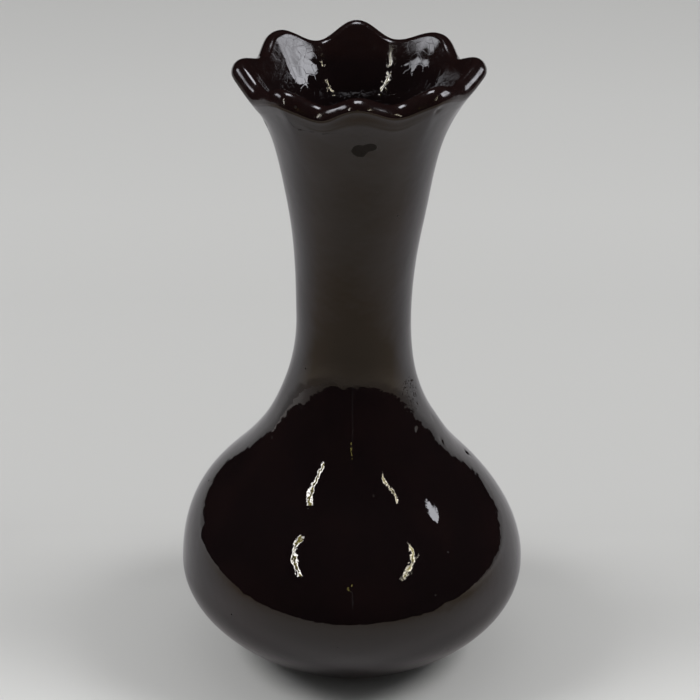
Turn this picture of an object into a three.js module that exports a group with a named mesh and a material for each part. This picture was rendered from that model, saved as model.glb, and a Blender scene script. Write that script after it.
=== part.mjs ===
// A black-glazed pottery bottle vase with a scalloped mouth, in millimetres, +Z up, standing on z = 0.
// The potter's pieces are the thrown belly with its foot, the thrown neck with its rolled and lobed lip,
// the ring of slip that lutes them together, and the two coats of glaze that meet along the lip.
import * as THREE from "three";

// Driving dimensions of the outside, glaze included
const FOOT_RADIUS = 27.2;
const FOOT_RISE = 1; // height at which the glaze stops above the table
const BELLY_RADIUS = 54.4;
const BELLY_HEIGHT = 30.9;
const BELLY_FULLNESS_BELOW = 16.9; // how far the belly stays upright below its widest ring
const BELLY_FULLNESS_ABOVE = 33.3; // and above it
const UNDERSIDE_REACH = 3;
const UNDERSIDE_ANGLE = 20; // degrees above the table
const NECK_RADIUS = 17.8;
const NECK_HEIGHT = 115;
const NECK_REACH_BELOW = 48.6;
const NECK_REACH_ABOVE = 20;
const MOUTH_RADIUS = 32.7;
const MOUTH_HEIGHT = 190.1; // where the wall ends and the rolled lip starts
const MOUTH_FLARE = 57; // degrees above the table at which the wall reaches the mouth
const MOUTH_REACH = 19.5;

// The rolled lip, glaze included
const ROLL_RADIUS = 2.9;
const ROLL_OVERHANG = 2.1; // how far the roll stands out over the wall's outside
const ROLL_STANDOFF = 4; // how far its centre lies past the end of the wall
const ROLL_TUCK = 30; // degrees that the roll turns under before the fillet takes over
const FILLET_REACH = 1;

// The scalloped mouth
const LOBES = 8;
const LOBE_RISE = 1.85; // height of a lobe's tip over the middle line, and of the dip under it
const LOBE_SPREAD = 0.85; // how far a tip stands out, and a dip draws in
const LOBE_DEPTH = 18; // the fluting fades out over this height below the mouth
const LOBE_FADE_POWER = 2;

// The thrown axis wanders to the right of the foot's centre by this much at each height
const AXIS_HEIGHTS = [0, 12, 32, 58, 80, 116, 156, 198];
const AXIS_WANDER = [0, 0.3, 0, -1.5, -0.35, 0.5, 1.5, 1.8];

// Walls
const BELLY_WALL = 4.2; // clay at the widest ring
const NECK_WALL = 2.8; // from the narrowest ring up
const GLAZE = 0.5;
const FLOOR_HEIGHT = 6; // clay floor over the table, on the axis
const FLOOR_CORNER_HEIGHT = 16; // the inside turns from wall to floor below this height
const FOOT_WIDTH = 5;
const FOOT_RECESS = 2; // hollow under the foot

// The luted joint between belly and neck
const JOINT_HEIGHT = 84;
const SLIP_THICKNESS = 0.8;

// Fineness of the faceted solids
const TURN_STEPS = 6 * LOBES;
const UNDERSIDE_STEPS = 8;
const SHOULDER_STEPS = 9;
const NECK_STEPS = 8;
const RISE_STEPS = 4;
const FILLET_STEPS = 2;
const ROLL_STEPS = 7;
const ROLL_STEPS_TO_TOP = 4; // the two coats of glaze meet here
const FLOOR_STEPS = 4;
const BISECTIONS = 50;

const radians = THREE.MathUtils.degToRad;

// A point (radius, height) on the profile.
const point = (radius, height) => new THREE.Vector2(radius, height);

// The outside of the glaze, from the foot to the lip, as three curves that join upright.
function outsideCurves() {
  const foot = point(FOOT_RADIUS, FOOT_RISE);
  const belly = point(BELLY_RADIUS, BELLY_HEIGHT);
  const waist = point(NECK_RADIUS, NECK_HEIGHT);
  const mouth = point(MOUTH_RADIUS, MOUTH_HEIGHT);
  const under = radians(UNDERSIDE_ANGLE);
  const flare = radians(MOUTH_FLARE);
  return [
    new THREE.CubicBezierCurve(
      foot,
      point(foot.x + UNDERSIDE_REACH * Math.cos(under), foot.y + UNDERSIDE_REACH * Math.sin(under)),
      point(belly.x, belly.y - BELLY_FULLNESS_BELOW),
      belly,
    ),
    new THREE.CubicBezierCurve(
      belly,
      point(belly.x, belly.y + BELLY_FULLNESS_ABOVE),
      point(waist.x, waist.y - NECK_REACH_BELOW),
      waist,
    ),
    new THREE.CubicBezierCurve(
      waist,
      point(waist.x, waist.y + NECK_REACH_ABOVE),
      point(mouth.x - MOUTH_REACH * Math.cos(flare), mouth.y - MOUTH_REACH * Math.sin(flare)),
      mouth,
    ),
  ];
}

// The share along a curve that climbs without turning back, at which it reaches a height.
function shareAtHeight(curve, height) {
  let low = 0;
  let high = 1;
  for (let i = 0; i < BISECTIONS; i++) {
    const middle = (low + high) / 2;
    if (curve.getPoint(middle).y < height) low = middle;
    else high = middle;
  }
  return (low + high) / 2;
}

// Stations up the wall, each a point on the outside and its outward normal.
function stationsOf(curve, from, to, steps) {
  return Array.from({ length: steps + 1 }, (_, i) => {
    const share = from + ((to - from) * i) / steps;
    const along = curve.getTangent(share);
    return { at: curve.getPoint(share), out: point(along.y, -along.x) };
  });
}

// How thick the clay is at a height: it thins from the belly to the neck.
function clayAt(height) {
  const level = THREE.MathUtils.clamp(height, BELLY_HEIGHT, NECK_HEIGHT);
  return THREE.MathUtils.mapLinear(level, BELLY_HEIGHT, NECK_HEIGHT, BELLY_WALL, NECK_WALL);
}

// Depths under the outside at a height, of the four faces of the clay and its two coats.
const outerSkin = () => 0;
const clayOuter = () => GLAZE;
const clayInner = (height) => GLAZE + clayAt(height);
const innerSkin = (height) => clayInner(height) + GLAZE;

// The same stations, moved in from the outside to one of those faces.
const layer = (stations, depth) =>
  stations.map(({ at, out }) => point(at.x - depth(at.y) * out.x, at.y - depth(at.y) * out.y));

// The rolled lip of a face that lies at a depth under the outside, from the end of the wall outside it,
// over the top, to the inner side. It is laid out as (outward, onward) from the wall's last station.
function lip({ at, out }, depth) {
  const radius = ROLL_RADIUS - depth;
  const centre = point(ROLL_OVERHANG - ROLL_RADIUS, ROLL_STANDOFF);
  const start = radians(-ROLL_TUCK);
  const roll = Array.from({ length: ROLL_STEPS + 1 }, (_, i) => {
    const turn = start + ((Math.PI - start) * i) / ROLL_STEPS;
    return point(centre.x + radius * Math.cos(turn), centre.y + radius * Math.sin(turn));
  });
  const fillet = new THREE.CubicBezierCurve(
    point(-depth, 0),
    point(-depth, FILLET_REACH),
    point(roll[0].x + FILLET_REACH * Math.sin(start), roll[0].y - FILLET_REACH * Math.cos(start)),
    roll[0],
  );
  return [...fillet.getPoints(FILLET_STEPS).slice(1), ...roll.slice(1)].map(({ x: outward, y: onward }) =>
    point(at.x + outward * out.x - onward * out.y, at.y + outward * out.y + onward * out.x),
  );
}

// The inside floor, from the wall's lowest inner point in to the axis, as a quarter oval.
function floor(from, height) {
  return Array.from({ length: FLOOR_STEPS }, (_, i) => {
    const turn = (Math.PI / 2) * ((i + 1) / FLOOR_STEPS);
    return point(
      i === FLOOR_STEPS - 1 ? 0 : from.x * Math.cos(turn),
      from.y - (from.y - height) * Math.sin(turn),
    );
  });
}

// How far the axis has wandered at a height, easing from each stated height to the next.
function axisAt(height) {
  const next = AXIS_HEIGHTS.findIndex((level) => level > height);
  if (next === -1) return AXIS_WANDER[AXIS_WANDER.length - 1];
  const share = THREE.MathUtils.smoothstep(height, AXIS_HEIGHTS[next - 1], AXIS_HEIGHTS[next]);
  return THREE.MathUtils.lerp(AXIS_WANDER[next - 1], AXIS_WANDER[next], share);
}

// Where a profile point lies at an angle: the mouth's lobes rise and spread it, fading down the neck.
function scalloped(profilePoint, angle) {
  const below = (MOUTH_HEIGHT - profilePoint.y) / LOBE_DEPTH;
  const share = Math.pow(THREE.MathUtils.clamp(1 - below, 0, 1), LOBE_FADE_POWER);
  const wave = share * Math.cos(LOBES * angle);
  const radius = profilePoint.x + LOBE_SPREAD * wave;
  return new THREE.Vector3(
    radius * Math.cos(angle) + axisAt(profilePoint.y),
    radius * Math.sin(angle),
    profilePoint.y + LOBE_RISE * wave,
  );
}

// A closed solid turned from a profile loop that runs anticlockwise in (radius, height).
// A loop that starts and ends on the axis closes there, and any other closes on itself.
function turned(loop) {
  const onAxis = loop[0].x === 0;
  const positions = [];
  const place = (ring, step) => {
    const angle = (2 * Math.PI * (step % TURN_STEPS)) / TURN_STEPS;
    return ring.x === 0 ? new THREE.Vector3(axisAt(ring.y), 0, ring.y) : scalloped(ring, angle);
  };
  const face = (...corners) => corners.forEach((c) => positions.push(c.x, c.y, c.z));
  const last = onAxis ? loop.length - 1 : loop.length;
  for (let i = 0; i < last; i++) {
    const here = loop[i];
    const next = loop[(i + 1) % loop.length];
    const climbs = next.y > here.y || (next.y === here.y && next.x > here.x);
    for (let step = 0; step < TURN_STEPS; step++) {
      const a = place(here, step);
      const b = place(here, step + 1);
      const c = place(next, step + 1);
      const d = place(next, step);
      if (here.x === 0) face(b, c, d);
      else if (next.x === 0) face(a, b, d);
      else if (climbs) face(a, b, d, b, c, d);
      else face(a, b, c, a, c, d);
    }
  }
  return new THREE.BufferGeometry().setAttribute(
    "position",
    new THREE.Float32BufferAttribute(positions, 3),
  );
}

const [underside, shoulder, throat] = outsideCurves();
const jointShare = shareAtHeight(shoulder, JOINT_HEIGHT);
const slipTopShare = shareAtHeight(shoulder, JOINT_HEIGHT + SLIP_THICKNESS);
const cornerShare = shareAtHeight(underside, FLOOR_CORNER_HEIGHT);

const low = stationsOf(underside, 0, cornerShare, UNDERSIDE_STEPS / 2);
const high = stationsOf(underside, cornerShare, 1, UNDERSIDE_STEPS / 2).slice(1);
const slope = stationsOf(shoulder, 0, jointShare, SHOULDER_STEPS).slice(1);
const seam = stationsOf(shoulder, jointShare, slipTopShare, 1);
const rise = stationsOf(shoulder, slipTopShare, 1, RISE_STEPS);
const flared = stationsOf(throat, 0, 1, NECK_STEPS).slice(1);

const bellyWall = [...low, ...high, ...slope];
const bellyInnerWall = [low[low.length - 1], ...high, ...slope];
const neckWall = [...rise, ...flared];
const lipStation = neckWall[neckWall.length - 1];
const lipTop = FILLET_STEPS + ROLL_STEPS_TO_TOP - 1;

const clayFloor = floor(layer(bellyInnerWall, clayInner)[0], FLOOR_HEIGHT);
const linerFloor = floor(layer(bellyInnerWall, innerSkin)[0], FLOOR_HEIGHT + GLAZE);
const clayOutside = layer(bellyWall, clayOuter);

// The thrown belly: hollow under the foot, foot ring, outer wall, joint face, inner wall and floor.
function bellyLoop() {
  const footOuter = clayOutside[0].x;
  return [
    point(0, FOOT_RECESS),
    point(footOuter - FOOT_WIDTH - FOOT_RECESS / 2, FOOT_RECESS),
    point(footOuter - FOOT_WIDTH, 0),
    point(footOuter, 0),
    ...clayOutside,
    ...layer(bellyInnerWall, clayInner).reverse(),
    ...clayFloor,
  ];
}

// The ring of slip between the belly's joint face and the neck's.
const slipLoop = () => [...layer(seam, clayOuter), ...layer(seam, clayInner).reverse()];

// The thrown neck, up to its rolled lip.
const neckLoop = () => [
  ...layer(neckWall, clayOuter),
  ...lip(lipStation, GLAZE),
  ...layer(neckWall, clayInner).reverse(),
];

// The coat poured over the outside, up to the top of the lip.
function outerGlazeLoop() {
  const wall = [...bellyWall, ...neckWall];
  const overLip = lip(lipStation, 0).slice(0, lipTop + 1);
  const underLip = lip(lipStation, GLAZE).slice(0, lipTop + 1);
  return [...layer(wall, outerSkin), ...overLip, ...underLip.reverse(), ...layer(wall, clayOuter).reverse()];
}

// The coat poured inside, from the top of the lip down over the floor.
function innerGlazeLoop() {
  const wall = [...bellyInnerWall, ...neckWall];
  const overLip = lip(lipStation, 0).slice(lipTop);
  const underLip = lip(lipStation, GLAZE).slice(lipTop);
  return [
    ...clayFloor.slice().reverse(),
    ...layer(wall, clayInner),
    ...underLip.slice().reverse(),
    ...overLip,
    ...layer(wall, innerSkin).reverse(),
    ...linerFloor,
  ];
}

const clayFinish = new THREE.MeshStandardMaterial({ color: 0x6e4a35, roughness: 0.9, metalness: 0 });
const slipFinish = new THREE.MeshStandardMaterial({ color: 0x7d5940, roughness: 0.95, metalness: 0 });
const glazeFinish = new THREE.MeshStandardMaterial({ color: 0x0d0809, roughness: 0.06, metalness: 0 });

function piece(name, loop, finish) {
  const mesh = new THREE.Mesh(turned(loop), finish);
  mesh.name = name;
  return mesh;
}

const vase = new THREE.Group();
vase.add(
  piece("clay_belly", bellyLoop(), clayFinish),
  piece("luting_slip", slipLoop(), slipFinish),
  piece("clay_neck", neckLoop(), clayFinish),
  piece("outer_glaze", outerGlazeLoop(), glazeFinish),
  piece("inner_glaze", innerGlazeLoop(), glazeFinish),
);

export default vase;
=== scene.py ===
"""A mirror-black pottery bottle vase, standing on a pale table in soft studio light.

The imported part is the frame. Each of its pieces is turned again here, smooth and with the marks
of the hand that made it, dressed in its finish, and set in its node's place.
"""

from __future__ import annotations

import logging
import math
from dataclasses import astuple, dataclass, field
from enum import Enum
from typing import Sequence

import bpy
import numpy as np
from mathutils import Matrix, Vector


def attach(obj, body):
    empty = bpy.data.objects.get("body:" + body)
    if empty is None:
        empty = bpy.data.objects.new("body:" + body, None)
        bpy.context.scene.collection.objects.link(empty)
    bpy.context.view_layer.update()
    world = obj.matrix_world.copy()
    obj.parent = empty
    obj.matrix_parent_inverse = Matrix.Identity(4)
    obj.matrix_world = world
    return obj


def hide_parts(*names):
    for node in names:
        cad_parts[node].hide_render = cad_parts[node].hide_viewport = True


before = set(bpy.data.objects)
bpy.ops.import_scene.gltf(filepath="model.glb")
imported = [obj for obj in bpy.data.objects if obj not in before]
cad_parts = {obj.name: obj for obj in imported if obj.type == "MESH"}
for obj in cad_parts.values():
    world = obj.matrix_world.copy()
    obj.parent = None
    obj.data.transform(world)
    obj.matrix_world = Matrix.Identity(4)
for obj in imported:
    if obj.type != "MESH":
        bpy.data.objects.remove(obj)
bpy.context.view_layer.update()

Color = tuple[float, float, float]
Place = tuple[float, float, float]
Socket = bpy.types.NodeSocket

MM = 0.001
log = logging.getLogger("vase")


def unit(angle: float) -> np.ndarray:
    """A step of one unit at an angle in radians, as (radius, height)."""
    return np.array([math.cos(angle), math.sin(angle)])


def eased(at: np.ndarray, knots: Sequence[float], values: Sequence[float]) -> np.ndarray:
    """A value that eases from each knot to the next.

    Args:
        at: where to take the value.
        knots: where it is known, in rising order.
        values: what it is there.

    Returns:
        The value at each place, level before the first knot and after the last.
    """
    levels, known = np.array(knots), np.array(values)
    after = np.clip(np.searchsorted(levels, at, side="right"), 1, len(levels) - 1)
    share = np.clip((at - levels[after - 1]) / (levels[after] - levels[after - 1]), 0, 1)
    ease = share * share * (3 - 2 * share)
    return known[after - 1] + (known[after] - known[after - 1]) * ease


class Face(Enum):
    """A face of the wall, as the coats of glaze and the walls of clay that lie outside it."""

    GLAZE_OUTSIDE = (0, 0)
    CLAY_OUTSIDE = (1, 0)
    CLAY_INSIDE = (1, 1)
    GLAZE_INSIDE = (2, 1)


@dataclass(frozen=True)
class Arc:
    """One cubic curve of the profile, as (radius, height) control points in millimetres."""

    start: np.ndarray
    leave: np.ndarray
    arrive: np.ndarray
    end: np.ndarray

    def walk(self, shares: np.ndarray) -> tuple[np.ndarray, np.ndarray]:
        """Walks along the curve.

        Args:
            shares: how far along the curve each point is, 0 to 1.

        Returns:
            The points and the unit normals on the curve's outer side, one (radius, height) row a
            share.
        """
        t = shares[:, None]
        a, b, c, d = self.start, self.leave, self.arrive, self.end
        points = (1 - t) ** 3 * a + 3 * (1 - t) ** 2 * t * b + 3 * (1 - t) * t**2 * c + t**3 * d
        along = (1 - t) ** 2 * (b - a) + 2 * (1 - t) * t * (c - b) + t**2 * (d - c)
        along /= np.linalg.norm(along, axis=1)[:, None]
        return points, np.stack([along[:, 1], -along[:, 0]], axis=1)


@dataclass(frozen=True)
class Profile:
    """The thrown form's outside and the thickness of its wall, in millimetres.

    A trim is (height, half height, reach): a soft band that stands out from the plain curves.
    """

    foot_radius: float = 27.2
    foot_rise: float = 1.0
    belly_radius: float = 54.4
    belly_height: float = 30.9
    belly_fullness_below: float = 16.9
    belly_fullness_above: float = 33.3
    underside_reach: float = 3.0
    underside_angle: float = 20.0
    neck_radius: float = 17.8
    neck_height: float = 115.0
    neck_reach_below: float = 48.6
    neck_reach_above: float = 23.0
    mouth_radius: float = 32.6
    mouth_height: float = 190.1
    mouth_flare: float = 58.0
    mouth_reach: float = 19.5
    rim_swell: float = 1.94
    rim_swell_depth: float = 30.0
    lip_standoff: float = 3.6
    corner_radius: float = 1.2
    corner_turn: float = 46.0
    face_radius: float = 3.9
    face_turn: float = 103.0
    crown_radius: float = 2.3
    trims: tuple[tuple[float, float, float], ...] = (
        (68.0, 8.0, -0.55),
        (90.0, 7.0, 0.15),
        (156.0, 15.0, 0.42),
    )
    belly_wall: float = 4.2
    neck_wall: float = 2.8
    glaze: float = 0.5
    floor_height: float = 6.0
    floor_corner_height: float = 16.0
    foot_width: float = 5.0
    foot_recess: float = 2.0
    foot_bevel: float = 0.4
    joint_height: float = 84.0
    slip_thickness: float = 0.8

    def arcs(self) -> tuple[Arc, Arc, Arc]:
        """Draws the outside from the foot to the mouth.

        Returns:
            The underside, the shoulder and the throat.
        """
        foot = np.array([self.foot_radius, self.foot_rise])
        belly = np.array([self.belly_radius, self.belly_height])
        waist = np.array([self.neck_radius, self.neck_height])
        mouth = np.array([self.mouth_radius, self.mouth_height])
        leaving = foot + self.underside_reach * unit(math.radians(self.underside_angle))
        reaching = mouth - self.mouth_reach * unit(math.radians(self.mouth_flare))
        full = belly + (0, self.belly_fullness_above)
        return (
            Arc(foot, leaving, belly - (0, self.belly_fullness_below), belly),
            Arc(belly, full, waist - (0, self.neck_reach_below), waist),
            Arc(waist, waist + (0, self.neck_reach_above), reaching, mouth),
        )

    def trim(self, heights: np.ndarray) -> np.ndarray:
        """How far the outside stands out at each height from the plain curves."""
        steps = [((heights - level) / width, reach) for level, width, reach in self.trims]
        return sum(reach * np.exp(-(step**2)) for step, reach in steps)

    def clay(self, heights: np.ndarray) -> np.ndarray:
        """How thick the clay is: it thins from the belly to the neck and swells to the lip.

        Args:
            heights: the heights on the outside at which to measure.

        Returns:
            A thickness a height.
        """
        levels, walls = (self.belly_height, self.neck_height), (self.belly_wall, self.neck_wall)
        swell = (self.mouth_height - self.rim_swell_depth, self.mouth_height)
        return np.interp(heights, levels, walls) + self.rim_swell * eased(heights, swell, (0, 1))

    def depth(self, face: Face, heights: np.ndarray) -> np.ndarray:
        """How far under the outside a face lies, at each height on the outside."""
        glazes, clays = face.value
        return glazes * self.glaze + clays * self.clay(heights)


@dataclass(frozen=True)
class Fineness:
    """How finely the smooth pieces are turned, and the angle past which an edge stays sharp."""

    turn: int = 384
    underside: int = 60
    shoulder: int = 130
    throat: int = 130
    lip_rise: int = 8
    lip_corner: int = 10
    lip_face: int = 14
    lip_crown: int = 16
    lip_to_seam: int = 36
    floor: int = 24
    crease: float = 40.0


@dataclass(frozen=True)
class Wall:
    """Stations up the outside, each a point and an outward normal."""

    at: np.ndarray
    out: np.ndarray

    def between(self, low: float, high: float) -> Wall:
        """The stations from one height to another."""
        chosen = (self.at[:, 1] >= low) & (self.at[:, 1] <= high)
        return Wall(self.at[chosen], self.out[chosen])

    def cut(self, height: float) -> Wall:
        """Adds a station.

        Args:
            height: where it goes.

        Returns:
            The same wall with one more station.
        """
        heights = self.at[:, 1]
        place = int(np.searchsorted(heights, height))
        rows: list[np.ndarray] = []
        for old in (self.at, self.out):
            added = [np.interp(height, heights, column) for column in old.T]
            rows.append(np.insert(old, place, added, axis=0))
        return Wall(*rows)

    def layer(self, profile: Profile, face: Face) -> np.ndarray:
        """The stations moved in to a face of the wall."""
        return self.at - profile.depth(face, self.at[:, 1])[:, None] * self.out

    def lip(self, profile: Profile, depth: float, fineness: Fineness) -> np.ndarray:
        """The lip of a face, from the wall's end outside it, over the top, to the inner side.

        Args:
            profile: the wall's sizes.
            depth: how far under the outside the face lies.
            fineness: how many steps each part takes.

        Returns:
            The points of the lip, the wall's own end left out.
        """
        under, over = math.radians(profile.corner_turn), math.radians(profile.face_turn)
        corner = np.array([-profile.corner_radius, profile.lip_standoff])
        face = corner - (profile.face_radius - profile.corner_radius) * unit(under)
        crown = face + (profile.face_radius - profile.crown_radius) * unit(over)
        rise = np.linspace(0, profile.lip_standoff, fineness.lip_rise + 1)[1:]
        laid = [np.stack([np.full_like(rise, -depth), rise], axis=1)]
        for centre, radius, start, end, steps in (
            (corner, profile.corner_radius, 0.0, under, fineness.lip_corner),
            (face, profile.face_radius, under, over, fineness.lip_face),
            (crown, profile.crown_radius, over, math.pi, fineness.lip_crown),
        ):
            turns = np.linspace(start, end, steps + 1)[1:, None]
            laid.append(centre + (radius - depth) * np.hstack([np.cos(turns), np.sin(turns)]))
        points, out = np.concatenate(laid), self.out[-1]
        up = np.array([-out[1], out[0]])
        return self.at[-1] + points[:, :1] * out + points[:, 1:] * up


@dataclass(frozen=True)
class Mark:
    """A soft dent (or, with a depth below zero, a lump) left in the surface, in millimetres."""

    angle: float
    height: float
    half_width: float
    half_height: float
    depth: float

    def shift(self, angles: np.ndarray, radii: np.ndarray, heights: np.ndarray) -> np.ndarray:
        """How far the mark moves the surface out.

        Args:
            angles: the angles round the axis, in radians.
            radii: the surface's radii.
            heights: the surface's heights.

        Returns:
            The move at each point.
        """
        turn = (angles - math.radians(self.angle) + math.pi) % (2 * math.pi) - math.pi
        across = turn * radii / self.half_width
        up = (heights - self.height) / self.half_height
        return -self.depth * np.exp(-(across**2) - up**2)


@dataclass(frozen=True)
class RimPoint:
    """The tip of one of the mouth's lobes, or the dip between two.

    It has its angle in degrees, how far up and out it stands, and how far the lip hangs over there.
    """

    angle: float
    rise: float
    spread: float
    hang: float = 0.0


@dataclass(frozen=True)
class HandShaping:
    """What the potter's hand does to the turned form: lobes, wander of the axis, waves and marks.

    The rim's points are tips and dips in turn. A ripple is (share of the wave, lobes round the
    axis, rise, phase). The waves start at one height and are full at another. Nearer to the axis
    than its own radius, nothing moves as far as it does outside.
    """

    rim: tuple[RimPoint, ...] = (
        RimPoint(0.8, 2.2, 3.75),
        RimPoint(24.5, -1.8, 0.6),
        RimPoint(45.0, 2.0, 3.0),
        RimPoint(69.7, -2.0, 0.7),
        RimPoint(90.8, 2.8, 2.9),
        RimPoint(111.6, -2.4, 1.1),
        RimPoint(135.0, 2.9, 3.0),
        RimPoint(156.8, -1.2, 0.2),
        RimPoint(179.9, 1.9, 3.4),
        RimPoint(203.1, -2.9, -0.2, 0.5),
        RimPoint(225.8, 0.9, 0.7, 1.0),
        RimPoint(247.9, -2.9, -2.6, 0.6),
        RimPoint(269.5, 0.8, -0.9, -0.4),
        RimPoint(292.7, -2.6, -2.4),
        RimPoint(315.7, 1.7, 1.2, 0.8),
        RimPoint(337.6, -1.2, 0.3, 0.5),
    )
    tip_sharpness: float = 0.56
    tip_softness: float = 0.14
    lobe_depth: float = 18.0
    hang_levels: tuple[float, float, float] = (189.0, 193.5, 197.0)
    front_tuck: float = 1.15
    axis_heights: tuple[float, ...] = (0.0, 12.0, 32.0, 58.0, 80.0, 116.0, 156.0, 198.0)
    axis_wander: tuple[float, ...] = (0.0, 0.3, 0.0, -1.5, -0.35, 0.5, 1.7, 1.9)
    back_heights: tuple[float, ...] = (0.0, 34.0, 62.0, 88.0, 104.0, 198.0)
    back_wander: tuple[float, ...] = (0.0, 0.0, 1.6, -0.25, 0.0, 0.0)
    wave: float = 0.07
    waves_from: float = 3.0
    waves_full: float = 15.0
    ripples: tuple[tuple[float, float, float, float], ...] = (
        (1.0, 2.0, 17.0, 0.7),
        (0.6, 3.0, -11.0, 0.0),
        (0.35, 5.0, 6.0, 1.9),
        (0.25, 7.0, -4.3, 0.0),
    )
    still_radius: float = 6.0
    marks: tuple[Mark, ...] = (
        Mark(-84.5, 180.9, 2.4, 1.7, 0.1),
        Mark(-167.0, 182.5, 2.2, 1.3, 0.8),
        Mark(-46.6, 190.8, 1.0, 1.2, 0.5),
        Mark(8.5, 63.6, 0.9, 0.9, 0.7),
        Mark(-62.0, 60.0, 2.0, 5.0, 0.25),
        Mark(-35.0, 82.0, 1.0, 1.0, 0.3),
        Mark(-6.3, 80.9, 1.3, 1.1, 0.14),
        Mark(-14.3, 75.0, 1.3, 1.1, 0.14),
        Mark(-56.7, 36.9, 1.8, 1.3, 0.08),
        Mark(-79.9, 30.1, 2.2, 0.9, 0.05),
    )

    def lobe(self, angles: np.ndarray) -> tuple[np.ndarray, ...]:
        """How the mouth waves round the rim.

        Args:
            angles: the angles round the axis, in radians.

        Returns:
            How far up and how far out the rim stands at each angle, and how far its lip hangs over.
        """
        turns, rises, spreads, hangs = np.array([astuple(point) for point in self.rim]).T
        ends = np.append(turns, turns[0] + 360)
        here = (np.degrees(angles) - turns[0]) % 360 + turns[0]
        after = np.searchsorted(ends, here, side="right")
        before, ahead = after - 1, after % len(turns)
        share = (here - turns[before]) / (ends[after] - turns[before])
        ease = (1 - np.cos(math.pi * share)) / 2
        leaving_tip = before % 2 == 0
        tipward = np.where(leaving_tip, 1 - ease, ease)
        soft, power = self.tip_softness, self.tip_sharpness / 2
        low, high = soft ** (2 * power), (1 + soft**2) ** power
        wide = 1 - (((1 - tipward) ** 2 + soft**2) ** power - low) / (high - low)
        reach = np.where(leaving_tip, 1 - wide, wide)
        return tuple(
            values[before] + (values[ahead] - values[before]) * part
            for values, part in ((rises, ease), (spreads, reach), (hangs, ease))
        )

    def waves(self, angles: np.ndarray, heights: np.ndarray) -> np.ndarray:
        """Slow unevenness of the thrown wall, at each angle in radians and height."""
        parts = [(a, n * angles + heights / rise + phase) for a, n, rise, phase in self.ripples]
        return self.wave * sum(share * np.sin(turn) for share, turn in parts)

    def shape(self, rings: np.ndarray, angles: np.ndarray, mouth_height: float) -> np.ndarray:
        """Turns profile points into the shaped surface.

        Args:
            rings: (radius, height) rows in millimetres.
            angles: the angles round the axis, in radians.
            mouth_height: where the lobes are full, in millimetres.

        Returns:
            An array of rings by angles by (x, y, z), in metres.
        """
        radius, height, turn = rings[:, :1], rings[:, 1:], angles[None, :]
        share = np.clip(1 - (mouth_height - height) / self.lobe_depth, 0, 1) ** 2
        lift, stretch, droop = (part[None, :] for part in self.lobe(angles))
        z = height + share * lift - droop * eased(height, self.hang_levels, (0, 1, 0))
        start, full = self.waves_from, self.waves_full
        out = share * stretch
        out = out + np.clip((height - start) / (full - start), 0, 1) * self.waves(turn, height)
        tuck = self.front_tuck * np.clip(-np.sin(turn), 0, 1) ** 2
        out = out - tuck * eased(height, self.hang_levels[:2], (0, 1))
        for mark in self.marks:
            out = out + mark.shift(turn, radius, height)
        reach = radius + out * np.clip(radius / self.still_radius, 0, 1)
        x = reach * np.cos(turn) + eased(height, self.axis_heights, self.axis_wander)
        y = reach * np.sin(turn) + eased(height, self.back_heights, self.back_wander)
        return np.stack([x, y, z], axis=2) * MM


def add_mesh(
    name: str,
    verts: Sequence[Sequence[float]],
    faces: Sequence[Sequence[int]],
    finish: bpy.types.Material,
) -> bpy.types.Object:
    """Puts a mesh into the scene.

    Args:
        name: the object's name.
        verts: its corners, in metres.
        faces: its faces.
        finish: its material.

    Returns:
        The mesh object.
    """
    mesh = bpy.data.meshes.new(name)
    mesh.from_pydata(verts, [], faces)
    mesh.materials.append(finish)
    made = bpy.data.objects.new(name, mesh)
    bpy.context.scene.collection.objects.link(made)
    return made


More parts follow.
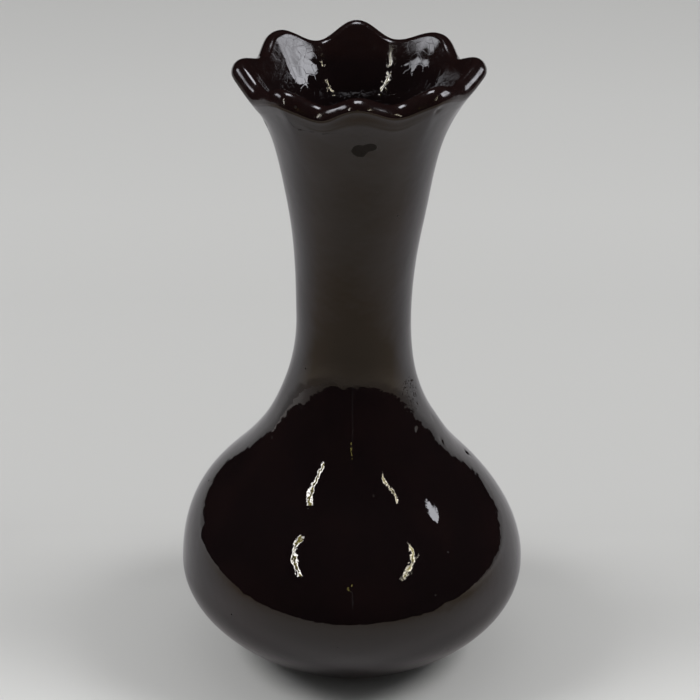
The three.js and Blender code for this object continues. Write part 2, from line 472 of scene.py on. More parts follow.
class NodeTree:
    """The nodes of a material or a world, and short ways to add and join them."""

    def __init__(
        self, owner: bpy.types.Material | bpy.types.World, shader: str = "Principled BSDF"
    ) -> None:
        """Starts with the shader that a new owner has.

        Args:
            owner: the new material or world.
            shader: the name of its shader.
        """
        owner.use_nodes = True
        self.owner = owner
        self.nodes = owner.node_tree.nodes
        self.links = owner.node_tree.links
        self.shader = self.nodes[shader]

    def feed(self, target: Socket, value: object) -> None:
        """Gives an input a link from a socket, or a value of its own.

        Args:
            target: the input.
            value: the socket or the value.
        """
        if isinstance(value, bpy.types.NodeSocket):
            self.links.new(value, target)
        else:
            target.default_value = value

    def dress(self, node: bpy.types.Node | None = None, **inputs: object) -> None:
        """Feeds inputs by name.

        Args:
            node: the node that has them, or none for the shader.
            inputs: a socket or a value for each, with _ for a space in the input's name.
        """
        for key, value in inputs.items():
            self.feed((node or self.shader).inputs[key.replace("_", " ")], value)

    def add(self, kind: str, **inputs: object) -> bpy.types.Node:
        """Adds a node.

        Args:
            kind: the node's type, without the words that every type starts with.
            inputs: a socket or a value for each input, with _ for a space in its name.

        Returns:
            The node.
        """
        node = self.nodes.new("ShaderNode" + kind)
        self.dress(node, **inputs)
        return node

    def work(self, kind: str, operation: str, terms: Sequence[object]) -> bpy.types.Node:
        """Adds a node that works something out.

        Args:
            kind: the node's type.
            operation: what it does.
            terms: a socket or a value for each of its inputs, in order.

        Returns:
            The node.
        """
        node = self.add(kind)
        node.operation = operation
        for target, term in zip(node.inputs, terms):
            self.feed(target, term)
        return node

    def math(self, operation: str, *terms: Socket | float) -> Socket:
        """A number worked out of numbers."""
        return self.work("Math", operation, terms).outputs["Value"]

    def vector(self, operation: str, *terms: Socket | Place) -> Socket:
        """A vector worked out of vectors."""
        return self.work("VectorMath", operation, terms).outputs["Vector"]

    def length(self, vector: Socket) -> Socket:
        """How long a vector is."""
        return self.work("VectorMath", "LENGTH", [vector]).outputs["Value"]

    def place(self) -> Socket:
        """Object coordinates, in metres."""
        return self.add("TexCoord").outputs["Object"]

    def axis(self, name: str) -> Socket:
        """One of the object coordinates."""
        return self.add("SeparateXYZ", Vector=self.place()).outputs[name]

    def noise(self, scale: float, detail: float = 3.0, roughness: float = 0.5) -> Socket:
        """A noise's value over the object coordinates."""
        sizes = {"Scale": scale, "Detail": detail, "Roughness": roughness}
        return self.add("TexNoise", Vector=self.place(), **sizes).outputs["Fac"]

    def cells(self, scale: float, feature: str) -> Socket:
        """How far it is to the nearest cell's middle or edge, over the cell's size.

        Args:
            scale: how many cells a metre.
            feature: F1 for the middle, DISTANCE_TO_EDGE for the edge.

        Returns:
            The distance.
        """
        node = self.add("TexVoronoi", Vector=self.place(), Scale=scale)
        node.feature = feature
        return node.outputs["Distance"]

    def span(self, value: Socket, low: float, high: float) -> Socket:
        """How far a value has gone from one number to another, clamped to 0 to 1."""
        return self.add("MapRange", Value=value, From_Min=low, From_Max=high).outputs["Result"]

    def ramp(self, value: Socket, stops: Sequence[tuple[float, Color]]) -> Socket:
        """A colour ramp over a value.

        Args:
            value: what drives the ramp.
            stops: positions with their colours.

        Returns:
            The ramp's colour.
        """
        node = self.add("ValToRGB", Fac=value)
        elements = node.color_ramp.elements
        while len(elements) < len(stops):
            elements.new(0.5)
        for element, (position, color) in zip(elements, stops):
            element.position = position
            element.color = (*color, 1.0)
        return node.outputs["Color"]

    def mix(self, share: Socket, first: Socket | Color, second: Socket | Color) -> Socket:
        """Blends two colours.

        Args:
            share: how much of the second shows.
            first: the first colour.
            second: the second colour.

        Returns:
            The blended colour.
        """
        node = self.add("Mix", Factor=share)
        node.data_type = "RGBA"
        sockets = {socket.identifier: socket for socket in (*node.inputs, *node.outputs)}
        for end, color in (("A_Color", first), ("B_Color", second)):
            self.feed(sockets[end], (*color, 1.0) if isinstance(color, tuple) else color)
        return sockets["Result_Color"]

    def bump(self, layers: Sequence[tuple[Socket, float]]) -> None:
        """Chains bumps into the shader's normal.

        Args:
            layers: heights with how far each stands out, in metres.
        """
        before: dict[str, Socket] = {}
        for height, distance in layers:
            node = self.add("Bump", Strength=1.0, Distance=distance, Height=height, **before)
            before = {"Normal": node.outputs["Normal"]}
        self.dress(**before)

    def glow(self, color: Socket, strength: float) -> None:
        """Makes the surface shine in a colour, with no paint or gloss of its own."""
        self.dress(Base_Color=(0, 0, 0, 1), Specular_IOR_Level=0.0)
        self.dress(Emission_Color=color, Emission_Strength=strength)


def grey(level: float) -> Color:
    """A grey."""
    return (level, level, level)


@dataclass(frozen=True)
class Mottle:
    """A noise, and the two of its levels between which one tone turns into another."""

    scale: float
    low: float
    high: float
    detail: float = 3.0
    roughness: float = 0.5

    def blend(self, tree: NodeTree, first: Color, second: Color) -> Socket:
        """The two tones, blended by the noise."""
        noise = tree.noise(self.scale, self.detail, self.roughness)
        return tree.ramp(noise, [(self.low, first), (self.high, second)])


@dataclass(frozen=True)
class BareSpot:
    """A place where the glaze crawled off the clay. Its middle and reach are in metres.

    A speckled spot is bare only where a fine noise is above its speckle.
    """

    middle: Place
    reach: Place
    edge_scale: float = 250.0
    edge_noise: float = 0.5
    edge_from: float = 1.3
    edge_to: float = 1.2
    speckle: float = 0.0
    speckle_blend: float = 0.04
    speckle_scale: float = 1100.0
    speckle_detail: float = 4.0
    speckle_roughness: float = 0.6

    def share(self, tree: NodeTree) -> Socket:
        """How bare the surface is here.

        Args:
            tree: the glaze's nodes.

        Returns:
            1 inside the spot and 0 outside it, broken up where it is speckled.
        """
        away = tree.vector("DIVIDE", tree.vector("SUBTRACT", tree.place(), self.middle), self.reach)
        edge = tree.noise(self.edge_scale)
        ragged = tree.math("MULTIPLY_ADD", edge, self.edge_noise, tree.length(away))
        inside = tree.span(ragged, self.edge_from, self.edge_to)
        if not self.speckle:
            return inside
        fine = tree.noise(self.speckle_scale, self.speckle_detail, self.speckle_roughness)
        specks = tree.span(fine, self.speckle, self.speckle + self.speckle_blend)
        return tree.math("MULTIPLY", inside, specks)


@dataclass(frozen=True)
class MirrorGlaze:
    """Black glaze with a mirror gloss that runs to dark red-brown where it is thin.

    A layer of its skin is (scale, detail, depth in metres). The last layer is a fine grain or, on a
    crackled glaze, the cracks.
    """

    name: str = "mirror_black_glaze"
    crackled: bool = False
    deep: Color = (0.0068, 0.0042, 0.0045)
    thin: Color = (0.0098, 0.0052, 0.0052)
    lip: Color = (0.0112, 0.0052, 0.0048)
    bare: Color = (0.0075, 0.004, 0.0032)
    cloud: Mottle = Mottle(38.0, 0.45, 0.75, 4.0, 0.6)
    lip_cloud: Mottle = Mottle(160.0, 0.35, 0.7, 4.0, 0.7)
    gloss: tuple[float, float] = (0.015, 0.05)
    lip_gloss: tuple[float, float] = (0.06, 0.22)
    bare_gloss: float = 0.95
    smudge: Mottle = Mottle(55.0, 0.4, 0.75, 5.0, 0.65)
    lip_smudge: Mottle = Mottle(400.0, 0.3, 0.7, 4.0, 0.7)
    ior: float = 1.65
    lip_from: float = 0.1885
    lip_blend: float = 0.004
    pinhole_scale: float = 90.0
    pinhole_reach: float = 0.04
    skin: tuple[tuple[float, float, float], ...] = ((120.0, 2.0, 0.0001), (270.0, 1.5, 0.00005))
    grain: tuple[float, float, float] = (800.0, 1.5, 0.000012)
    crackle_scale: float = 330.0
    crackle_width: float = 0.05
    crackle_depth: float = 0.000008
    spots: tuple[BareSpot, ...] = (
        BareSpot((0.0022, -0.0282, 0.1807), (0.0024, 0.004, 0.0022)),
        BareSpot((0.0050, -0.0275, 0.1819), (0.0022, 0.004, 0.0014)),
        BareSpot((0.0355, 0.0053, 0.0634), (0.001, 0.002, 0.0011)),
        BareSpot((0.0182, -0.0105, 0.093), (0.0056, 0.005, 0.006), 700.0, speckle=0.56),
    )

    def material(self) -> bpy.types.Material:
        """Builds the glaze: cloudy depth of colour, smudged gloss, pinholes and an uneven skin.

        Returns:
            The glaze.
        """
        tree = NodeTree(bpy.data.materials.new(self.name))
        lip = tree.span(tree.axis("Z"), self.lip_from, self.lip_from + self.lip_blend)
        body = self.cloud.blend(tree, self.deep, self.thin)
        edge = self.lip_cloud.blend(tree, self.thin, self.lip)
        smudge = self.smudge.blend(tree, *map(grey, self.gloss))
        dull = self.lip_smudge.blend(tree, *map(grey, self.lip_gloss))
        pinholes = tree.cells(self.pinhole_scale, "F1")
        bare = tree.span(pinholes, self.pinhole_reach, self.pinhole_reach / 2)
        for spot in self.spots:
            bare = tree.math("MAXIMUM", bare, spot.share(tree))
        tree.dress(
            Base_Color=tree.mix(bare, tree.mix(lip, body, edge), self.bare),
            Roughness=tree.mix(bare, tree.mix(lip, smudge, dull), grey(self.bare_gloss)),
            IOR=self.ior,
        )
        layers = self.skin if self.crackled else (*self.skin, self.grain)
        bumps = [(tree.noise(scale, detail), depth) for scale, detail, depth in layers]
        if self.crackled:
            cracks = tree.cells(self.crackle_scale, "DISTANCE_TO_EDGE")
            bumps.append((tree.span(cracks, 0.0, self.crackle_width), self.crackle_depth))
        tree.bump(bumps)
        return tree.owner


@dataclass(frozen=True)
class FiredClay:
    """Bare fired clay, matt and grainy, with a sandy bump of a depth in metres."""

    name: str
    light: Color
    dark: Color
    grain: Mottle = Mottle(700.0, 0.35, 0.65, 6.0, 0.7)
    roughness: float = 0.9
    depth: float = 0.0002

    def material(self) -> bpy.types.Material:
        """Builds the clay.

        Returns:
            The clay.
        """
        tree, grain = NodeTree(bpy.data.materials.new(self.name)), self.grain
        color = grain.blend(tree, self.dark, self.light)
        tree.dress(Base_Color=color, Roughness=self.roughness)
        tree.bump([(tree.noise(grain.scale, grain.detail, grain.roughness), self.depth)])
        return tree.owner


@dataclass
class Potting:
    """What every piece of the vase is made from: profile, shaping, fineness and wall stations."""

    profile: Profile = Profile()
    shaping: HandShaping = HandShaping()
    fineness: Fineness = Fineness()
    wall: Wall = field(init=False)

    def __post_init__(self) -> None:
        """Walks the stations up the outside, once for all the pieces."""
        p, fine = self.profile, self.fineness
        at: list[np.ndarray] = []
        out: list[np.ndarray] = []
        for arc, count in zip(p.arcs(), (fine.underside, fine.shoulder, fine.throat)):
            first = 1 if at else 0
            plain, normals = arc.walk(np.linspace(0, 1, count + 1)[first:])
            at.append(plain + p.trim(plain[:, 1])[:, None] * normals)
            out.append(normals)
        whole = Wall(np.concatenate(at), np.concatenate(out))
        self.wall = whole.cut(p.joint_height).cut(p.joint_height + p.slip_thickness)

    def floor(self, start: np.ndarray, height: float) -> np.ndarray:
        """The inside floor, as a quarter oval from the wall in to the axis.

        Args:
            start: the wall's lowest inner point.
            height: how high the floor lies on the axis.

        Returns:
            The floor's points, the last on the axis.
        """
        turns = np.linspace(0, math.pi / 2, self.fineness.floor + 1)[1:]
        radius = start[0] * np.cos(turns)
        radius[-1] = 0
        return np.stack([radius, start[1] - (start[1] - height) * np.sin(turns)], axis=1)

    def turn(self, name: str, loop: np.ndarray, finish: bpy.types.Material) -> bpy.types.Object:
        """Turns a closed solid.

        Args:
            name: the piece's name.
            loop: (radius, height) rows, anticlockwise; ends on the axis, or closes on itself.
            finish: the piece's material.

        Returns:
            The piece.
        """
        count = self.fineness.turn
        angles = np.linspace(0, 2 * math.pi, count, endpoint=False)
        points = self.shaping.shape(loop, angles, self.profile.mouth_height)
        verts: list[np.ndarray] = []
        index: list[np.ndarray] = []
        total = 0
        for radius, row in zip(loop[:, 0], points):
            ring = row if radius else row[:1]
            verts.append(ring)
            index.append(total + np.arange(count) % len(ring))
            total += len(ring)
        pairs = list(zip(index, index[1:]))
        if loop[0, 0]:
            pairs.append((index[-1], index[0]))
        faces: list[list[int]] = []
        for low, high in pairs:
            corners = np.stack([low, np.roll(low, -1), np.roll(high, -1), high], axis=1)
            if low[0] == low[1]:
                corners = corners[:, 1:]
            elif high[0] == high[1]:
                corners = corners[:, [0, 1, 3]]
            faces.extend(corners.tolist())
        piece = add_mesh(name, np.concatenate(verts).tolist(), faces, finish)
        piece.data.shade_smooth()
        piece.data.set_sharp_from_angle(angle=math.radians(self.fineness.crease))
        return piece


@dataclass
class ThrownBelly:
    """The round belly with its foot ring, hollow foot and floor."""

    potting: Potting
    clay: bpy.types.Material
    name: str = "belly_clay"

    def build(self) -> bpy.types.Object:
        """Turns the belly in clay.

        Returns:
            The belly.
        """
        p = self.potting.profile
        wall = self.potting.wall.between(0, p.joint_height)
        outside = wall.layer(p, Face.CLAY_OUTSIDE)
        hollow = wall.between(p.floor_corner_height, p.joint_height)
        inside = hollow.layer(p, Face.CLAY_INSIDE)[::-1]
        edge = outside[0, 0]
        foot = [
            (0, p.foot_recess),
            (edge - p.foot_width - p.foot_recess / 2, p.foot_recess),
            (edge - p.foot_width, 0),
            (edge - p.foot_bevel, 0),
            (edge, p.foot_bevel),
        ]
        floor = self.potting.floor(inside[-1], p.floor_height)
        loop = np.concatenate([foot, outside, inside, floor])
        return self.potting.turn(self.name, loop, self.clay)


@dataclass
class LutingRing:
    """The ring of slip that joins the two thrown pieces."""

    potting: Potting
    slip: bpy.types.Material
    name: str = "slip_ring"

    def build(self) -> bpy.types.Object:
        """Turns the ring of slip.

        Returns:
            The ring.
        """
        p = self.potting.profile
        seam = self.potting.wall.between(p.joint_height, p.joint_height + p.slip_thickness)
        faces = [seam.layer(p, Face.CLAY_OUTSIDE), seam.layer(p, Face.CLAY_INSIDE)[::-1]]
        return self.potting.turn(self.name, np.concatenate(faces), self.slip)


@dataclass
class ThrownNeck:
    """The tall neck with its flared and scalloped mouth."""

    potting: Potting
    clay: bpy.types.Material
    name: str = "neck_clay"

    def build(self) -> bpy.types.Object:
        """Turns the neck in clay.

        Returns:
            The neck.
        """
        p = self.potting.profile
        wall = self.potting.wall.between(p.joint_height + p.slip_thickness, p.mouth_height)
        outside, inside = (wall.layer(p, face) for face in (Face.CLAY_OUTSIDE, Face.CLAY_INSIDE))
        lip = wall.lip(p, p.glaze, self.potting.fineness)
        loop = np.concatenate([outside, lip, inside[::-1]])
        return self.potting.turn(self.name, loop, self.clay)


@dataclass
class GlazeCoat:
    """The two coats of glaze, which meet along the top of the lip."""

    potting: Potting
    glaze: bpy.types.Material
    liner: bpy.types.Material

    def outside(self) -> bpy.types.Object:
        """Turns the outer coat, from just above the foot to the top of the lip.

        Returns:
            The outer coat.
        """
        p, wall, fine = self.potting.profile, self.potting.wall, self.potting.fineness
        top = fine.lip_to_seam
        loop = [
            wall.layer(p, Face.GLAZE_OUTSIDE),
            wall.lip(p, 0.0, fine)[:top],
            wall.lip(p, p.glaze, fine)[:top][::-1],
            wall.layer(p, Face.CLAY_OUTSIDE)[::-1],
        ]
        return self.potting.turn("outer_coat", np.concatenate(loop), self.glaze)

    def inside(self) -> bpy.types.Object:
        """Turns the inner coat, from the top of the lip down over the floor.

        Returns:
            The inner coat.
        """
        p, fine = self.potting.profile, self.potting.fineness
        wall = self.potting.wall.between(p.floor_corner_height, p.mouth_height)
        top = fine.lip_to_seam - 1
        clay = wall.layer(p, Face.CLAY_INSIDE)
        skin = wall.layer(p, Face.GLAZE_INSIDE)[::-1]
        loop = [
            self.potting.floor(clay[0], p.floor_height)[::-1],
            clay,
            wall.lip(p, p.glaze, fine)[top:][::-1],
            wall.lip(p, 0.0, fine)[top:],
            skin,
            self.potting.floor(skin[-1], p.floor_height + p.glaze),
        ]
        return self.potting.turn("inner_coat", np.concatenate(loop), self.liner)


@dataclass(frozen=True)
class TablePaint:
    """Matt paint with painted light: a painted shadow band behind the vase, painted brighter
    towards the back, and, in the gloss, painted shade where the lamps don't reach.

    A band is (how far back, painted tone). The lit, unlit, behind and far tones are painted light
    that shows in the gloss alone: lit round its centre, far with the distance, and behind from one
    way round to another, each way as y over the distance. Distances are in metres.
    """

    name: str = "table_paint"
    # Painted light: the tones dip from 0.05 to 0.1 m back as a painted shadow band, and rise
    # towards the back as painted brightening where the lamps fall off.
    painted_light_bands: tuple[tuple[float, float], ...] = (
        (-0.06, 0.68),
        (0.0, 0.655),
        (0.03, 0.64),
        (0.05, 0.595),
        (0.075, 0.555),
        (0.1, 0.565),
        (0.15, 0.575),
        (0.27, 0.605),
        (0.36, 0.655),
        (0.5, 0.69),
        (0.66, 0.7),
    )
    warmth: float = 0.985
    tone_aside: float = 0.66
    aside_from: float = 0.25
    aside_to: float = 0.9
    glow_from: float = 0.72
    glow_to: float = 2.2
    glow: float = 0.33
    # Painted light for the gloss alone: a lit disc round this centre, painted shade in the unlit
    # warm ring beyond, and pale painted light behind and far off.
    lit_centre: Place = (0.0, 0.15, 0.0)
    lit_from: float = 0.2
    lit_to: float = 0.38
    lit: Color = (0.5, 0.48, 0.48)
    unlit: Color = (0.28, 0.232, 0.168)
    behind: Color = (0.49, 0.48, 0.49)
    far_front: Color = (0.75, 0.64, 0.5)
    far_behind: Color = (0.95, 0.94, 0.94)
    far_from: float = 0.4
    far_to: float = 1.6
    front_ends: float = -0.25
    back_starts: float = 0.45
    roughness: float = 0.9

    def tinted(self, tone: float) -> Color:
        """A tone of the paint, a little warm."""
        return (tone, tone, tone * self.warmth)

    def material(self) -> bpy.types.Material:
        """Builds the paint.

        Returns:
            The paint.
        """
        tree = NodeTree(bpy.data.materials.new(self.name))
        place, back = tree.place(), tree.axis("Y")
        away = tree.length(place)
        first, last = self.painted_light_bands[0][0], self.painted_light_bands[-1][0]
        stops = [((y - first) / (last - first), self.tinted(tone)) for y, tone in self.painted_light_bands]
        # The banded tone carries the painted shadow band and the painted brightening towards the
        # back.
        middle = tree.ramp(tree.span(back, first, last), stops)
        aside = tree.span(tree.math("ABSOLUTE", tree.axis("X")), self.aside_from, self.aside_to)
        seen = tree.mix(aside, middle, self.tinted(self.tone_aside))
        from_lit = tree.length(tree.vector("SUBTRACT", place, self.lit_centre))
        near = tree.mix(tree.span(from_lit, self.lit_from, self.lit_to), self.lit, self.unlit)
        far = tree.span(away, self.far_from, self.far_to)
        front = tree.mix(far, near, self.far_front)
        behind = tree.mix(far, self.behind, self.far_behind)
        way = tree.span(tree.math("DIVIDE", back, away), self.front_ends, self.back_starts)
        rays = tree.add("LightPath").outputs
        outer = tree.span(away, self.glow_from, self.glow_to)
        pale = tree.math("MULTIPLY", rays["Is Camera Ray"], self.glow)
        # In the gloss the table shows painted light and painted shade; to the camera, the banded
        # tone with its painted shadow band.
        tree.dress(
            Base_Color=tree.mix(rays["Is Glossy Ray"], seen, tree.mix(way, front, behind)),
            Emission_Color=(1, 1, 1, 1),
            Emission_Strength=tree.math("MULTIPLY", outer, pale),
            Roughness=self.roughness,
            Specular_IOR_Level=0.0,
        )
        return tree.owner


@dataclass(frozen=True)
class LitCloth:
    """The lit face of a lamp, a little uneven across."""

    name: str
    color: Color
    strength: float
    mottle: float = 0.0
    scale: float = 30.0

    def material(self) -> bpy.types.Material:
        """Builds the glowing cloth.

        Returns:
            The cloth.
        """
        tree = NodeTree(bpy.data.materials.new(self.name))
        dim = tuple(part * (1 - self.mottle) for part in self.color)
        tree.glow(Mottle(self.scale, 0.4, 0.6).blend(tree, dim, self.color), self.strength)
        return tree.owner


@dataclass(frozen=True)
class FarRoomGlow:
    """A glowing card of painted light for the room's end beyond the table: painted shade in front,
    paler towards the back.

    A tone stands at a way round the vase, as y over the distance.
    """

    name: str = "far_room_glow"
    # Painted light: the dim tones in front are painted shade, the pale ones behind are painted lit
    # room.
    tones: tuple[tuple[float, Color], ...] = (
        (-0.8, (0.2, 0.17, 0.13)),
        (-0.35, (0.28, 0.25, 0.22)),
        (-0.1, (0.36, 0.33, 0.31)),
        (0.1, (0.6, 0.57, 0.55)),
    )

    def material(self) -> bpy.types.Material:
        """Builds the glowing card of painted light.

        Returns:
            The card.
        """
        tree = NodeTree(bpy.data.materials.new(self.name))
        way = tree.math("DIVIDE", tree.axis("Y"), tree.length(tree.place()))
        stops = [((stop + 1) / 2, tone) for stop, tone in self.tones]
        tree.glow(tree.ramp(tree.span(way, -1.0, 1.0), stops), 1.0)
        return tree.owner


def heading(turn: float, rise: float) -> Vector:
    """A direction, from degrees round to the right of the front and degrees up."""
    side, up = math.radians(turn), math.radians(rise)
    return Vector((math.sin(side) * math.cos(up), -math.cos(side) * math.cos(up), math.sin(up)))


def stand(
    name: str,
    verts: Sequence[Sequence[float]],
    faces: Sequence[Sequence[int]],
    cloth: LitCloth | FarRoomGlow,
) -> bpy.types.Object:
    """Stages a lamp or a card that shows only in the gloss of the glaze.

    Args:
        name: the object's name.
        verts: its corners, in metres.
        faces: its faces.
        cloth: what it is covered with.

    Returns:
        The staged object.
    """
    staged = add_mesh(name, verts, faces, cloth.material())
    staged.visible_camera = False
    staged.visible_diffuse = False
    staged.visible_transmission = False
    staged.visible_shadow = False
    return staged


def strip(count: int) -> list[tuple[int, ...]]:
    """The faces between a number of pairs of corners, each pair beside the last."""
    return [(2 * i, 2 * i + 1, 2 * i + 3, 2 * i + 2) for i in range(count - 1)]


@dataclass(frozen=True)
class Panel:
    """A flat lamp that stands beside the table, seen only in the gloss. Sizes in metres."""

    name: str
    corners: tuple[Place, ...]
    cloth: LitCloth

    def build(self) -> bpy.types.Object:
        """Stands the panel up."""
        return stand(self.name, self.corners, [tuple(range(len(self.corners)))], self.cloth)


@dataclass(frozen=True)
class Ribbon:
    """A bent lamp with two thin tubes, seen only in the gloss.

    Its path is given as directions in degrees: round from the front, and up. Sizes in metres.
    """

    name: str
    path: tuple[tuple[float, float], ...]
    tube: LitCloth
    core: LitCloth
    width: float = 0.03
    tube_share: float = 0.28
    reach: float = 0.9
    centre: Place = (0.0, -0.03, 0.065)

    def build(self) -> list[bpy.types.Object]:
        """Hangs the two tubes and the dim cloth between them, square to the vase.

        Returns:
            The three staged bands.
        """
        inner, outer = self.width * (0.5 - self.tube_share), self.width / 2
        return [
            self.band("_outer", -outer, -inner, self.tube),
            self.band("_core", -inner, inner, self.core),
            self.band("_inner", inner, outer, self.tube),
        ]

    def band(self, part: str, start: float, end: float, cloth: LitCloth) -> bpy.types.Object:
        """One band of the ribbon.

        Args:
            part: what its name ends in.
            start: where across the ribbon it starts, in metres from the middle.
            end: where it ends.
            cloth: what it is covered with.

        Returns:
            The staged band.
        """
        ways = [heading(turn, rise) for turn, rise in self.path]
        verts: list[Vector] = []
        for i, way in enumerate(ways):
            along = ways[min(i + 1, len(ways) - 1)] - ways[max(i - 1, 0)]
            side = way.cross(along).normalized()
            middle = Vector(self.centre) + way * self.reach
            verts += [middle + side * start, middle + side * end]
        return stand(self.name + part, verts, strip(len(ways)), cloth)


@dataclass(frozen=True)
class BentCard:
    """A card bent round the vase, seen only in the gloss.

    Its edges are (turn, low, high): degrees round to the right of the front, and heights in
    metres. It stands at its radius at one level, and leans out below that.
    """

    name: str
    cloth: LitCloth | FarRoomGlow
    radius: float
    level: float
    lean: float
    edges: tuple[tuple[float, float, float], ...]
    steps: int = 60

    def build(self) -> bpy.types.Object:
        """Bends the card.

        Returns:
            The staged card.
        """
        turns, lows, highs = np.array(self.edges).T
        here = np.linspace(turns[0], turns[-1], self.steps + 1)
        lows, highs = np.interp(here, turns, lows), np.interp(here, turns, highs)
        verts: list[Place] = []
        for turn, *heights in zip(np.radians(here).tolist(), lows.tolist(), highs.tolist()):
            for height in heights:
                radius = self.radius + self.lean * (self.level - height)
                verts.append((radius * math.sin(turn), -radius * math.cos(turn), height))
        return stand(self.name, verts, strip(len(here)), self.cloth)


WARM_WHITE = (1.0, 0.93, 0.78)
PALE = (1.0, 0.97, 0.92)
YELLOW = (1.0, 0.88, 0.25)
COOL = (0.93, 0.94, 1.0)


@dataclass
class Studio:
    """The table, the surround, the lamps, what the gloss shows, and the camera, in metres."""

    table_reach: float = 6.0
    world_color: Color = (1.0, 1.0, 1.0)
    world_strength: float = 0.42
    backdrop_strength: float = 0.8
    dim_from: float = -0.8
    pale_from: float = -0.1
    dimness: float = 0.1
    side_lamps: tuple[tuple[str, Place, float], ...] = (
        ("left_lamp", (-0.72, -0.09, 0.75), 5.2),
        ("right_lamp", (0.72, -0.09, 0.75), 5.6),
    )
    lamp_size: float = 0.42
    camera_place: Place = (0.0, -0.857, 0.506)
    camera_target: Place = (-0.00061, 0.0, 0.10325)
    camera_focal_px: float = 3031.0
    picture_px: float = 700.0
    sensor_mm: float = 36.0
    staged: tuple[Panel | Ribbon | BentCard, ...] = (
        BentCard(
            "bent_card",
            LitCloth("black_card", (0.0, 0.0, 0.0), 0.0),
            0.1,
            0.044,
            0.5,
            (
                (-100.0, 0.0425, 0.052),
                (-89.0, 0.0413, 0.052),
                (-64.0, 0.0353, 0.052),
                (-43.0, 0.0265, 0.051),
                (-22.0, 0.0196, 0.047),
                (0.0, 0.0181, 0.045),
                (19.5, 0.0246, 0.044),
                (41.0, 0.0275, 0.044),
                (62.5, 0.0368, 0.044),
                (88.0, 0.0435, 0.046),
            ),
        ),
        # The far card glows with painted light of the room's far end, dim in front and pale behind.
        BentCard(
            "far_card",
            FarRoomGlow(),
            5.9,
            0.0,
            0.0,
            (
                (-125.0, 0.0, 0.06),
                (-100.0, 0.0, 0.19),
                (-84.0, 0.0, 0.6),
                (-60.0, 0.0, 0.35),
                (-36.0, 0.0, 0.17),
                (0.0, 0.0, 0.15),
                (20.0, 0.0, 0.12),
                (36.0, 0.0, 0.04),
            ),
        ),
        Ribbon(
            "left_ribbon",
            (
                (-36.0, 27.0),
                (-41.0, 32.0),
                (-45.5, 37.5),
                (-47.5, 42.5),
                (-47.0, 46.0),
                (-46.0, 49.0),
            ),
            LitCloth("left_glow", PALE, 24.0, 0.7, 40.0),
            LitCloth("left_core", YELLOW, 3.0, 0.9, 40.0),
            0.056,
        ),
        Ribbon(
            "right_ribbon",
            ((38.8, 27.6), (47.0, 32.5), (53.3, 35.8), (57.4, 38.6), (59.6, 41.6)),
            LitCloth("right_glow", WARM_WHITE, 20.0, 0.7, 40.0),
            LitCloth("right_core", YELLOW, 4.5, 0.9, 40.0),
            0.034,
        ),
        Ribbon(
            "middle_ribbon",
            ((1.6, -2.0), (1.6, 22.0)),
            LitCloth("middle_glow", COOL, 0.3),
            LitCloth("middle_core", COOL, 0.3),
            0.005,
        ),
        Ribbon(
            "middle_lamp",
            ((0.6, 21.5), (0.8, 25.3)),
            LitCloth("spot_glow", YELLOW, 7.0, 0.8, 60.0),
            LitCloth("spot_core", YELLOW, 1.0),
            0.016,
        ),
        Panel(
            "right_softbox",
            (
                (0.342, -0.052, 0.286),
                (0.342, 0.17, 0.28),
                (0.342, 0.17, 0.42),
                (0.342, -0.052, 0.42),
            ),
            LitCloth("right_cloth", COOL, 5.8, 0.5, 16.0),
        ),
        Panel(
            "left_softbox",
            ((-0.3, -0.07, 0.366), (-0.3, 0.1, 0.366), (-0.3, 0.1, 0.46), (-0.3, -0.07, 0.46)),
            LitCloth("left_cloth", COOL, 5.5, 0.4, 12.0),
        ),
        Panel(
            "top_softbox",
            ((-0.1, -0.05, 0.7), (0.1, -0.05, 0.7), (0.1, 0.15, 0.7), (-0.1, 0.15, 0.7)),
            LitCloth("top_cloth", COOL, 8.0, 0.3, 8.0),
        ),
    )

    def build(self) -> None:
        """Sets up everything around the vase."""
        self.world()
        self.table()
        self.lamps()
        for one in self.staged:
            one.build()
            log.info("%s stands by the table", one.name)
        self.camera()

    def world(self) -> None:
        """Makes a pale surround, dim in front of the vase, which the gloss doesn't see."""
        tree = NodeTree(bpy.data.worlds.new("pale_room"), "Background")
        way = tree.add("TexCoord").outputs["Generated"]
        back = tree.add("SeparateXYZ", Vector=way).outputs["Y"]
        levels = {"From_Min": self.dim_from, "From_Max": self.pale_from, "To_Min": self.dimness}
        pale = tree.add("MapRange", Value=back, **levels).outputs["Result"]
        light = tree.math("MULTIPLY", pale, self.world_strength)
        rays = tree.add("LightPath").outputs
        shown = tree.math("MAXIMUM", rays["Is Camera Ray"], rays["Is Glossy Ray"])
        shown = tree.math("MAXIMUM", shown, rays["Is Transmission Ray"])
        seen = tree.add("Mix", Factor=shown, A=light, B=self.backdrop_strength)
        tree.dress(Color=(*self.world_color, 1), Strength=seen.outputs["Result"])
        tree.owner.cycles_visibility.glossy = False
        bpy.context.scene.world = tree.owner

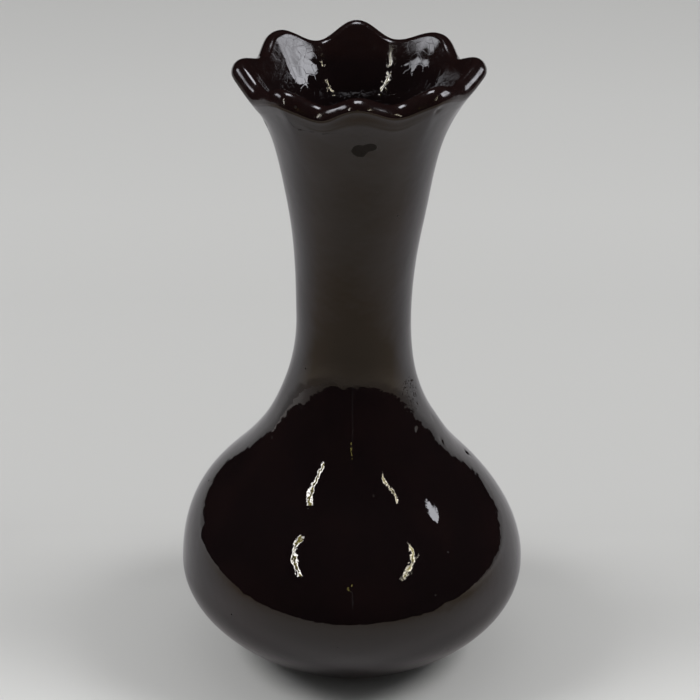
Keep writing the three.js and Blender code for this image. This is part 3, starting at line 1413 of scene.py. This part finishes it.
    def table(self) -> None:
        """Lays the pale table, which runs far back as the backdrop."""
        reach = self.table_reach
        corners = [(-reach, -reach, 0), (reach, -reach, 0), (reach, reach, 0), (-reach, reach, 0)]
        table = add_mesh("table", corners, [(0, 1, 2, 3)], TablePaint().material())

    def lamps(self) -> None:
        """Stands a soft lamp on each side of the table."""
        for name, place, power in self.side_lamps:
            light = bpy.data.lights.new(name, "AREA")
            light.shape = "SQUARE"
            light.size = self.lamp_size
            light.energy = power
            lamp = bpy.data.objects.new(name, light)
            lamp.location = place
            lamp.rotation_euler = (-Vector(place)).to_track_quat("-Z", "Y").to_euler()
            lamp.visible_glossy = False
            bpy.context.scene.collection.objects.link(lamp)

    def camera(self) -> None:
        """Places the camera where the photograph was taken from."""
        data = bpy.data.cameras.new("camera")
        data.sensor_width = self.sensor_mm
        data.lens = self.camera_focal_px * self.sensor_mm / self.picture_px
        camera = bpy.data.objects.new("camera", data)
        camera.location = self.camera_place
        towards = Vector(self.camera_target) - Vector(self.camera_place)
        camera.rotation_euler = towards.to_track_quat("-Z", "Y").to_euler()
        bpy.context.scene.collection.objects.link(camera)
        bpy.context.scene.camera = camera


def seat(piece: bpy.types.Object, node: str) -> None:
    """Sets a smooth piece in its node's place and reports it.

    Args:
        piece: the smooth piece.
        node: the node that it stands for.
    """
    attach(piece, "root")
    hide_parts(node)
    log.info("%s stands for %s", piece.name, node)


def main() -> None:
    """Builds the vase and its studio."""
    logging.basicConfig(level=logging.INFO, format="%(message)s")
    bpy.context.scene.view_settings.view_transform = "Standard"
    potting = Potting()
    clay = FiredClay("fired_clay", (0.2, 0.09, 0.05), (0.1, 0.04, 0.025)).material()
    slip = FiredClay("fired_slip", (0.24, 0.12, 0.07), (0.14, 0.07, 0.04)).material()
    glaze = MirrorGlaze().material()
    liner = MirrorGlaze("crackled_black_glaze", crackled=True).material()
    seat(ThrownBelly(potting, clay).build(), "clay_belly")
    seat(LutingRing(potting, slip).build(), "luting_slip")
    seat(ThrownNeck(potting, clay).build(), "clay_neck")
    coat = GlazeCoat(potting, glaze, liner)
    seat(coat.outside(), "outer_glaze")
    seat(coat.inside(), "inner_glaze")
    Studio().build()


if __name__ == "__main__":
    main()
